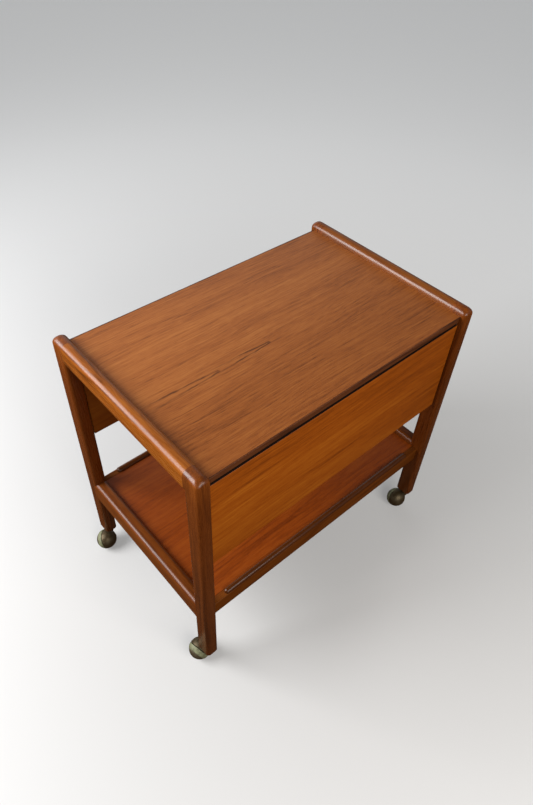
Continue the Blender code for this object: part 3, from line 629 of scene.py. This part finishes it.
def make_lipping(end):
    """The edge strip, rounded below about the pivot line. Its ends are cut back round the pivots."""
    name = "lipping_" + end
    low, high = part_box(name)
    way = ENDS[end]
    back, edge = sorted((abs(low.y), abs(high.y)))
    rim = edge - LIPPING_RIM
    covered = high.z - VENEER
    radius = (high.z - low.z) / 2
    top_arc = corner_arc((edge - LIPPING_EASE, high.z - LIPPING_EASE), LIPPING_EASE, 90.0, 0.0,
                         SMALL_CORNER_STEPS)
    low_arc = corner_arc((edge - radius, low.z + radius), radius, 0.0, -90.0, LIPPING_LOW_STEPS)
    pin_low, pin_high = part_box(f"pivot_pin_{end}_right")
    cut = pin_low.x
    over_pin = pin_high.z + radius * PIN_CLEARANCE
    above = [(back, covered), (rim, covered), (rim, high.z)] + top_arc
    whole = above + low_arc + [(back, low.z)]
    short = above + [(edge, over_pin), (back, over_pin)]
    bm = bmesh.new()
    for outline, start, stop in ((whole, -cut, cut), (short, low.x, -cut), (short, cut, high.x)):
        add_prism(bm, [(way * out, height) for out, height in outline], ALONG_X, start, stop)
    return piece(name + "_wood", finish_mesh(bm, name), LIPPING, "frame", "dark_lipping", name)


def make_leaf(end):
    """A leaf's board, with eased edges all round."""
    name = "leaf_" + end
    low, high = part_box(name)
    outline = rounded_outline((low.y, low.z), (high.y, high.z), (LEAF_EASE,) * 4, SMALL_CORNER_STEPS)
    mesh = prism(name, outline, ALONG_X, low.x, high.x, LEAF_EASE / 2)
    return piece(name + "_board", mesh, LEAF[end], name, "leaf_veneer", name)


def make_shelf_rail(end):
    """The rail, and the bead that stands on it."""
    name = "shelf_rail_" + end
    low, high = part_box(name)
    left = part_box("post_front_left")[1].x
    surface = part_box("shelf_panel")[1].z
    way = ENDS[end]
    outer = low.y if way < 0 else high.y
    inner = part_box("shelf_panel")[0 if way < 0 else 1].y
    bottom, top = sorted((outer, inner))
    outline = rounded_outline((bottom, low.z), (top, surface), (SHELF_RAIL_EASE,) * 4, SMALL_CORNER_STEPS)
    mesh = prism(name, outline, ALONG_X, left, -left, END_EASE)
    piece(name + "_wood", mesh, SHELF_RAIL, "frame", "rail_teak", name)
    straight = BEAD_HALF_LENGTH - BEAD_RADIUS
    cap = corner_arc((0.0, straight), BEAD_RADIUS, 90.0, 0.0, CORNER_STEPS)
    profile = [(max(r, 0.0), z) for r, z in cap]
    profile[0] = (0.0, BEAD_HALF_LENGTH)
    profile += [(r, -z) for r, z in reversed(profile)]
    place = Matrix.Translation((0.0, (outer + inner) / 2, surface + BEAD_RAISE))
    bead = turned(profile, BEAD_TURN_STEPS, place @ Matrix.Rotation(math.radians(90.0), 4, "Y"))
    piece("shelf_bead_" + end, finish_mesh(bead, "bead"), BEAD, "frame", "rail_teak")


for end_name in ENDS:
    make_lipping(end_name)
    make_leaf(end_name)
    make_shelf_rail(end_name)

# ---- castors ----------------------------------------------------------------------------
BALL_RADIUS = 0.025
# distances along the wheel's axis are from the ball's centre, towards the wheel's outer side
TYRE_NEAR = 0.0023
TYRE_FAR = 0.0137
TYRE_BORE = 0.0170
HOOD_RIM = 0.0010
HOOD_INSET = 0.0003
HOOD_THICK = 0.0018
DOME_INSET = 0.0004
CORE_GAP = 0.0003
HUB_RADIUS = 0.0060
HUB_BACK = -0.0150
BORE_RADIUS = 0.0028
BORE_END = 0.0090
NECK_BASE = 0.034
NECK_TOP_BELOW_POST = 0.0025
NECK_RADII = ((0.0, 0.0070), (0.35, 0.0071), (0.62, 0.0076), (0.82, 0.0086), (1.0, 0.0100))  # down it
SOFT = 0.0004                 # radius of the castors' small edges
RIM_STEP = 0.3                # of SOFT, where a dome's edge turns in
TURN_STEPS = 48
NECK_TURN_STEPS = 32
HOOD_STEPS = 20
HOLLOW_STEPS = 24
DOME_STEPS = 14
TREAD_STEPS = 10


def ball_arc(radius, high, low, steps):
    """Points (radius, height) down a ball's outline."""
    first, last = math.acos(high / radius), math.acos(low / radius)
    angles = [first + (last - first) * i / steps for i in range(steps + 1)]
    return [(radius * math.sin(angle), radius * math.cos(angle)) for angle in angles]


def applied(item, *modifiers):
    """A new mesh with Boolean modifiers applied; the cutters go."""
    for operation, other in modifiers:
        step = item.modifiers.new(other.name, "BOOLEAN")
        step.operation = operation
        step.solver = "EXACT"
        step.object = other
    bpy.context.view_layer.update()
    result = bpy.data.meshes.new_from_object(item.evaluated_get(bpy.context.evaluated_depsgraph_get()))
    for other in [item] + [other for _, other in modifiers]:
        bpy.data.objects.remove(other, do_unlink=True)
    smooth(result, CUT_SHARP_ANGLE)
    return result


def loose(name, bm):
    """An object that is only used to make another."""
    item = bpy.data.objects.new(name, finish_mesh(bm, name))
    scene.collection.objects.link(item)
    return item


def make_castor(corner):
    """A hood with its neck, a hollow-cored wheel with a domed side, and a tyre, placed by the joints."""
    roll = next(joint for joint in frame["joints"] if joint["name"] == f"wheel_{corner}_roll")
    swivel = next(joint for joint in frame["joints"] if joint["name"] == f"castor_{corner}_swivel")
    axis = Vector(roll["axis"]).normalized()
    place = Matrix.Translation(roll["pos_m"]) @ axis.to_track_quat("Z", "Y").to_matrix().to_4x4()
    stem = Matrix.Translation((swivel["pos_m"][0], swivel["pos_m"][1], 0.0))

    outer = BALL_RADIUS - HOOD_INSET
    shell = [(0.0, HOOD_RIM), (math.sqrt(outer ** 2 - HOOD_RIM ** 2) - SOFT, HOOD_RIM)]
    shell += ball_arc(outer, HOOD_RIM - SOFT, -outer, HOOD_STEPS)[:-1] + [(0.0, -outer)]
    hood = loose("hood", turned(shell, TURN_STEPS, place))
    neck_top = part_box("post_" + corner)[0].z - NECK_TOP_BELOW_POST
    neck = [(0.0, neck_top), (NECK_RADII[0][1] - SOFT, neck_top)]
    for share, radius in NECK_RADII:
        neck.append((radius, neck_top - SOFT + (NECK_BASE - neck_top + SOFT) * share))
    neck.append((0.0, NECK_BASE))
    neck_item = loose("neck", turned(neck, NECK_TURN_STEPS, stem))
    inner = BALL_RADIUS - HOOD_THICK
    ball = [(0.0, inner)] + ball_arc(inner, inner, -inner, HOLLOW_STEPS)[1:-1] + [(0.0, -inner)]
    hollow = loose("hollow", turned(ball, TURN_STEPS, place))
    mesh = applied(hood, ("UNION", neck_item), ("DIFFERENCE", hollow))
    part = "castor_hood_" + corner
    piece(part + "_metal", mesh, BRONZE, "castor_" + corner, "bronze", part)

    dome_radius = BALL_RADIUS - DOME_INSET
    dome_rim = TYRE_FAR + CORE_GAP
    core = TYRE_BORE - CORE_GAP
    wheel = [(0.0, dome_radius)] + ball_arc(dome_radius, dome_radius, dome_rim + SOFT, DOME_STEPS)[1:]
    rim = [(wheel[-1][0] + SOFT * RIM_STEP, dome_rim), (core, dome_rim), (core, TYRE_NEAR)]
    wheel += lay_soft_corner(rim, SOFT)
    wheel += [(HUB_RADIUS, TYRE_NEAR), (HUB_RADIUS, HUB_BACK), (BORE_RADIUS, HUB_BACK),
              (BORE_RADIUS, BORE_END), (0.0, BORE_END)]
    mesh = finish_mesh(turned(wheel, TURN_STEPS, place), "wheel")
    part = "castor_wheel_" + corner
    piece(part + "_metal", mesh, DOME, "wheel_" + corner, "wheel_dome", part)

    tread = ball_arc(BALL_RADIUS, TYRE_FAR - SOFT, TYRE_NEAR + SOFT, TREAD_STEPS)
    tyre = [(math.sqrt(BALL_RADIUS ** 2 - TYRE_FAR ** 2) - SOFT, TYRE_FAR)] + tread
    tyre += [(tread[-1][0] - SOFT, TYRE_NEAR), (TYRE_BORE, TYRE_NEAR), (TYRE_BORE, TYRE_FAR)]
    mesh = finish_mesh(turned(tyre, TURN_STEPS, place), "tyre")
    part = "castor_tyre_" + corner
    piece(part + "_rubber", mesh, TYRE, "wheel_" + corner, "tyre_rubber", part)


for corner_name, end_name, side_name in CORNERS:
    make_castor(corner_name)

# ---- finishes for the CAD nodes that stay -----------------------------------------------
KEPT = {
    "table_top": TOP, "shelf_panel": SHELF, "top_batten": BEECH, "bearer_stop": STEEL, "bearer": BEECH,
    "pivot": STEEL, "castor_axle": STEEL, "castor_socket": STEEL,
}
for node_name, node in frame["nodes"].items():
    if node.hide_render:
        continue
    finish = next(look for start, look in KEPT.items() if node_name.startswith(start))
    for material_slot in node.material_slots:
        material_slot.material = finish

# ---- floor, light and view --------------------------------------------------------------
FLOOR_HALF = 9.0
FLOOR_NEAR = (0.50, 0.492, 0.480)
FLOOR_FAR = (0.95, 0.945, 0.935)
FLOOR_FADE = (0.2, 2.6)       # metres from the middle, from the near colour to the far one
FLOOR_ROUGH = 0.85
FLOOR_GLOW = 0.22
SKY_COLOR = (0.84, 0.87, 0.90)
GROUND_COLOR = (0.085, 0.043, 0.024)
SKY_STRENGTH = 0.90
ZENITH_SHARE = 0.28           # brightness straight above, where 1 is low down by the pale wall
AWAY_SHARE = 0.30             # brightness on the side away from the wall
WALL_WAY = (-0.30, 0.95, 0.0)
ZENITH_FADE = (0.50, 0.80)    # in a direction's height, from -1 to 1
HORIZON_FADE = (-0.06, 0.06)
WALL_FADE = (0.1, 0.6)        # in how far a direction points to the wall
BACKDROP_COLOR = (0.68, 0.68, 0.67)      # what the camera sees beyond the floor
# name, place, target, size, watts and colour
LIGHTS = (
    ("front_window", (-0.30, -2.0, 1.6), (0.0, 0.0, 0.4), (1.8, 1.0), 31.0, (1.0, 0.96, 0.91)),
    ("side_window", (-1.60, 0.95, 1.44), (0.0, 0.0, 0.5), (1.4, 1.15), 57.0, (0.97, 0.98, 1.0)),
)


def make_floor():
    """A plain pale floor that the object's reflections and bounced light leave out."""
    mesh = bpy.data.meshes.new("floor")
    corners = [(-FLOOR_HALF, -FLOOR_HALF, 0.0), (FLOOR_HALF, -FLOOR_HALF, 0.0),
               (FLOOR_HALF, FLOOR_HALF, 0.0), (-FLOOR_HALF, FLOOR_HALF, 0.0)]
    mesh.from_pydata(corners, [], [(0, 1, 2, 3)])
    material, tree, shader = new_material("floor_look")
    place = tree.nodes.new("ShaderNodeTexCoord").outputs["Object"]
    away = add_node(tree, "VectorMath", {"operation": "LENGTH"})
    feed(tree, away.inputs[0], place)
    paler = remap(tree, away.outputs["Value"], *FLOOR_FADE)
    color = mix_color(tree, "MIX", paler, (*FLOOR_NEAR, 1.0), (*FLOOR_FAR, 1.0))
    feed(tree, shader.inputs["Base Color"], color)
    shader.inputs["Roughness"].default_value = FLOOR_ROUGH
    shader.inputs["Emission Color"].default_value = (*FLOOR_FAR, 1.0)
    shader.inputs["Emission Strength"].default_value = FLOOR_GLOW
    mesh.materials.append(material)
    floor = bpy.data.objects.new("floor", mesh)
    floor.visible_diffuse = False
    floor.visible_glossy = False
    scene.collection.objects.link(floor)


def make_light(name, place, target, size, power, color):
    """A rectangular area light at a place, turned to a target, and hidden from the camera."""
    data = bpy.data.lights.new(name, "AREA")
    data.shape = "RECTANGLE"
    data.size, data.size_y = size
    data.energy = power
    data.color = color
    light = bpy.data.objects.new(name, data)
    light.location = place
    light.rotation_euler = (Vector(target) - Vector(place)).to_track_quat("-Z", "Y").to_euler()
    light.visible_camera = False
    scene.collection.objects.link(light)


def make_world():
    """A room: a pale wall low down on one side, dimmer above and opposite, and a dark warm floor."""
    world = bpy.data.worlds.new("studio")
    world.use_nodes = True
    tree = world.node_tree
    direction = tree.nodes.new("ShaderNodeTexCoord").outputs["Generated"]
    height = add_node(tree, "SeparateXYZ", Vector=direction).outputs["Z"]
    facing = add_node(tree, "VectorMath", {"operation": "DOT_PRODUCT"})
    feed(tree, facing.inputs[0], direction)
    facing.inputs[1].default_value = WALL_WAY
    low_down = remap(tree, height, *ZENITH_FADE, 1.0, ZENITH_SHARE)
    near_wall = remap(tree, facing.outputs["Value"], *WALL_FADE, AWAY_SHARE, 1.0)
    above = remap(tree, height, *HORIZON_FADE)
    color = mix_color(tree, "MIX", above, (*GROUND_COLOR, 1.0), (*SKY_COLOR, 1.0))
    share = mix_color(tree, "MIX", above, (1.0, 1.0, 1.0, 1.0), calc(tree, "MULTIPLY", low_down, near_wall))
    background = tree.nodes["Background"]
    room = mix_color(tree, "MULTIPLY", 1.0, color, share)
    seen = tree.nodes.new("ShaderNodeLightPath").outputs["Is Camera Ray"]
    feed(tree, background.inputs["Color"], mix_color(tree, "MIX", seen, room, (*BACKDROP_COLOR, 1.0)))
    background.inputs["Strength"].default_value = SKY_STRENGTH
    scene.world = world


make_floor()
make_world()
for light_row in LIGHTS:
    make_light(*light_row)
scene.view_settings.view_transform = "Standard"
